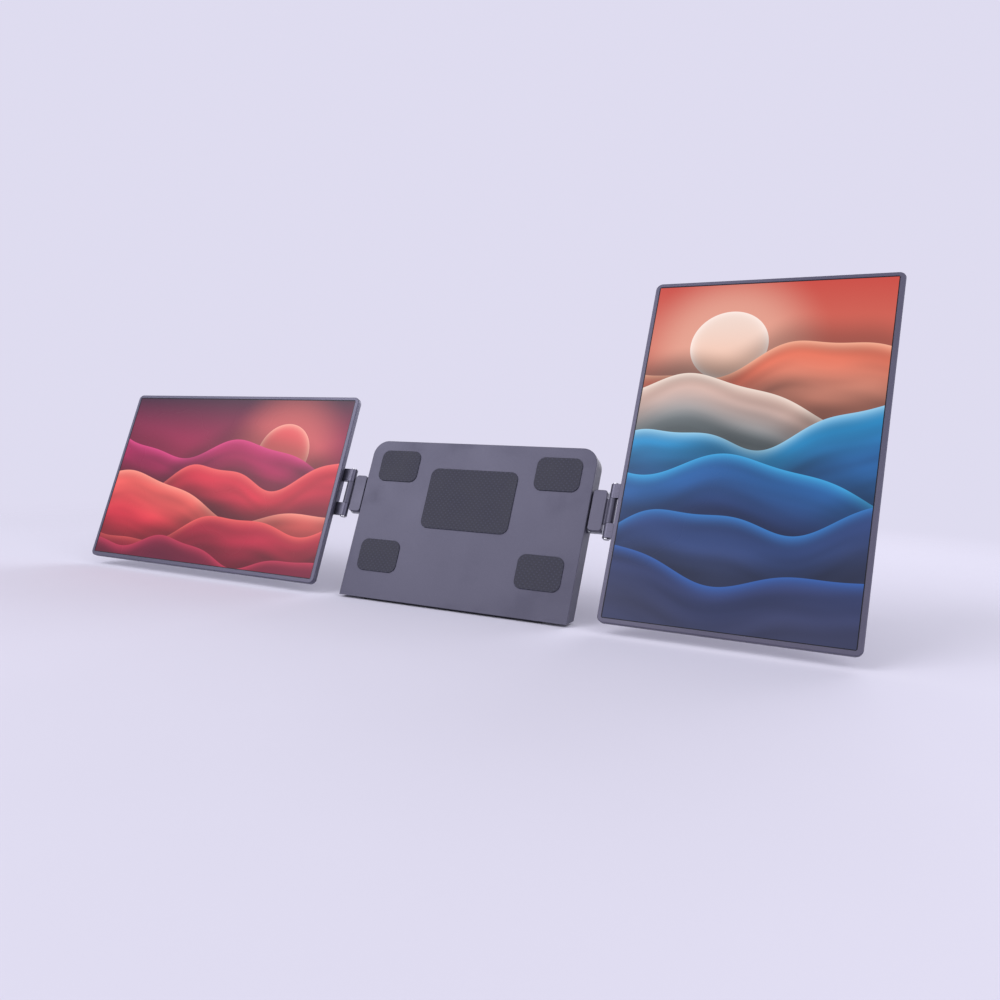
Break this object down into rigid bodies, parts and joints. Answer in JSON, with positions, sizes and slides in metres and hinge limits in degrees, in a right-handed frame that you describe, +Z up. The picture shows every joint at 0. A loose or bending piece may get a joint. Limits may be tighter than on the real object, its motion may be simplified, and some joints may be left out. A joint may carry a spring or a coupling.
{
  "type": "laptop screen extender",
  "caption": "Folding stand with a monitor on each side of a laptop's lid, on sliding arms with fold hinges and swivels.",
  "frame": {"origin": "middle of the base foot's sole, on the desk", "axes": "+X to the viewer's right, +Y away from the viewer, +Z up; the screens lean back 23.8 degrees"},
  "size_m": [0.8505, 0.1402, 0.3148],
  "materials": {
    "housing_shell": "fine-grained moulded shell",
    "plate_metal": "bead-blasted, anodised dark grey",
    "pad_silicone": "soft matt silicone",
    "magnet_plating": "nickel plated",
    "black_screws": "black oxide",
    "runner_plastic": "slippery natural plastic",
    "foot_rubber": "moulded rubber",
    "steel": "turned steel",
    "gear_plastic": "moulded acetal",
    "kickstand_metal": "anodised dark grey",
    "slide_metal": "extruded, anodised",
    "hinge_metal": "die-cast, painted dark grey",
    "arm_metal": "anodised dark grey",
    "monitor_metal": "anodised bluish grey",
    "display_glass": "lit display behind gloss glass",
    "backlight_film": "white reflector film",
    "board": "solder mask",
    "port_metal": "stamped shell",
    "switch_plastic": "moulded",
    "speaker_plastic": "moulded box",
    "cap_plastic": "fine-grained cap",
    "button_plastic": "satin key"
  },
  "bodies": {
    "base": {"rear_cover": "housing_shell", "front_plate": "plate_metal", "grip_pads": "pad_silicone", "magnets": "magnet_plating", "cover_screws": "black_screws", "slide_runners": "runner_plastic", "base_foot": "foot_rubber", "pinion_axle": "steel", "kickstand_pin": "steel"},
    "sync_gear": {"sync_pinion": "gear_plastic"},
    "kickstand": {"kickstand_leg": "kickstand_metal", "kickstand_foot": "foot_rubber"},
    "left_slide": {"left_slide_bar": "slide_metal", "left_slide_rack": "gear_plastic", "left_slide_screws": "steel", "left_hinge_block": "hinge_metal", "left_hinge_pin": "steel"},
    "left_arm": {"left_swivel_arm": "arm_metal", "left_swivel_washer": "runner_plastic"},
    "left_monitor": {"left_front_frame": "monitor_metal", "left_display_panel": "display_glass", "left_backlight_unit": "backlight_film", "left_back_cover": "monitor_metal", "left_driver_board": "board", "left_ports": "port_metal", "left_button_switches": "switch_plastic", "left_speaker": "speaker_plastic", "left_swivel_hub": "steel", "left_hub_screws": "steel", "left_swivel_cap": "cap_plastic"},
    "left_power_key": {"left_power_button": "button_plastic"},
    "left_menu_key": {"left_menu_button": "button_plastic"},
    "right_slide": {"right_slide_bar": "slide_metal", "right_slide_rack": "gear_plastic", "right_slide_screws": "steel", "right_hinge_block": "hinge_metal", "right_hinge_pin": "steel"},
    "right_arm": {"right_swivel_arm": "arm_metal", "right_swivel_washer": "runner_plastic"},
    "right_monitor": {"right_front_frame": "monitor_metal", "right_display_panel": "display_glass", "right_backlight_unit": "backlight_film", "right_back_cover": "monitor_metal", "right_driver_board": "board", "right_ports": "port_metal", "right_button_switches": "switch_plastic", "right_speaker": "speaker_plastic", "right_swivel_hub": "steel", "right_hub_screws": "steel", "right_swivel_cap": "cap_plastic"},
    "right_power_key": {"right_power_button": "button_plastic"},
    "right_menu_key": {"right_menu_button": "button_plastic"}
  },
  "joints": [
    {"name": "left_extend", "type": "slide", "parent": "base", "child": "left_slide", "axis": [-1, 0, 0], "range_m": [0, 0.055]},
    {"name": "left_fold", "type": "hinge", "parent": "left_slide", "child": "left_arm", "pos_m": [-0.145, 0.03676, 0.10269], "axis": [0, 0.4035, 0.915], "range_deg": [-115, 90]},
    {"name": "left_swivel", "type": "hinge", "parent": "left_arm", "child": "left_monitor", "pos_m": [-0.25875, 0.0331, 0.10431], "axis": [0, 0.915, -0.4035], "range_deg": [0, 90]},
    {"name": "left_power_press", "type": "slide", "parent": "left_monitor", "child": "left_power_key", "axis": [1, 0, 0], "range_m": [0, 0.0005], "stiffness_N_per_m": 1500},
    {"name": "left_menu_press", "type": "slide", "parent": "left_monitor", "child": "left_menu_key", "axis": [1, 0, 0], "range_m": [0, 0.0005], "stiffness_N_per_m": 1500},
    {"name": "right_extend", "type": "slide", "parent": "base", "child": "right_slide", "axis": [1, 0, 0], "range_m": [0, 0.055]},
    {"name": "right_fold", "type": "hinge", "parent": "right_slide", "child": "right_arm", "pos_m": [0.145, 0.03676, 0.10269], "axis": [0, -0.4035, -0.915], "range_deg": [-115, 90]},
    {"name": "right_swivel", "type": "hinge", "parent": "right_arm", "child": "right_monitor", "pos_m": [0.25875, 0.0331, 0.10431], "axis": [0, 0.915, -0.4035], "range_deg": [0, 90]},
    {"name": "right_power_press", "type": "slide", "parent": "right_monitor", "child": "right_power_key", "axis": [0, -0.4035, -0.915], "range_m": [0, 0.0005], "stiffness_N_per_m": 1500},
    {"name": "right_menu_press", "type": "slide", "parent": "right_monitor", "child": "right_menu_key", "axis": [0, -0.4035, -0.915], "range_m": [0, 0.0005], "stiffness_N_per_m": 1500},
    {"name": "sync_spin", "type": "hinge", "parent": "base", "child": "sync_gear", "pos_m": [0, 0.03676, 0.10269], "axis": [0, -0.915, 0.4035], "range_deg": [0, 362]},
    {"name": "kickstand_fold", "type": "hinge", "parent": "base", "child": "kickstand", "pos_m": [0, 0.06487, 0.131], "axis": [-1, 0, 0], "range_deg": [0, 40]}
  ],
  "couplings": [
    {"joint": "right_extend", "follows": "left_extend", "ratio": 1},
    {"joint": "sync_spin", "follows": "left_extend", "rad_per_m": 114.29}
  ]
}
